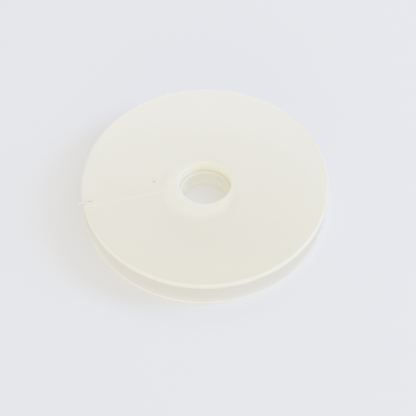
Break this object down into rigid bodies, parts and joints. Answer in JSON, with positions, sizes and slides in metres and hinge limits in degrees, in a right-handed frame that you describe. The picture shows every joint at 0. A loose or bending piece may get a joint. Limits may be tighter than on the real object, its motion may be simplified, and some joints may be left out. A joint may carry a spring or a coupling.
{
  "type": "fishing line spool",
  "caption": "Small flat round line spool of milky translucent plastic: equal discs on a short open hub, a rim slit and a thin winding of clear monofilament.",
  "frame": {"origin": "centre of the lower disc's outer face, which the spool lies on", "axes": "+Z is the spool's axis, from the lower disc to the upper one; the slit in the upper rim is on the -X side, 11 degrees towards -Y"},
  "size_m": [0.0609, 0.06, 0.0082],
  "materials": {
    "natural_polypropylene": "smooth as-moulded satin, milky translucent, uncoloured with a faint yellow cast",
    "clear_monofilament": "glossy, clear"
  },
  "bodies": {
    "lower_half": {"lower_flange": "natural_polypropylene"},
    "upper_half": {"upper_flange": "natural_polypropylene", "line_winding": "clear_monofilament", "line_start_end": "clear_monofilament", "line_outer_end": "clear_monofilament"}
  },
  "joints": [
    {"name": "upper_half_pull", "type": "slide", "parent": "lower_half", "child": "upper_half", "axis": [0, 0, 1], "range_m": [0, 0.01]}
  ]
}
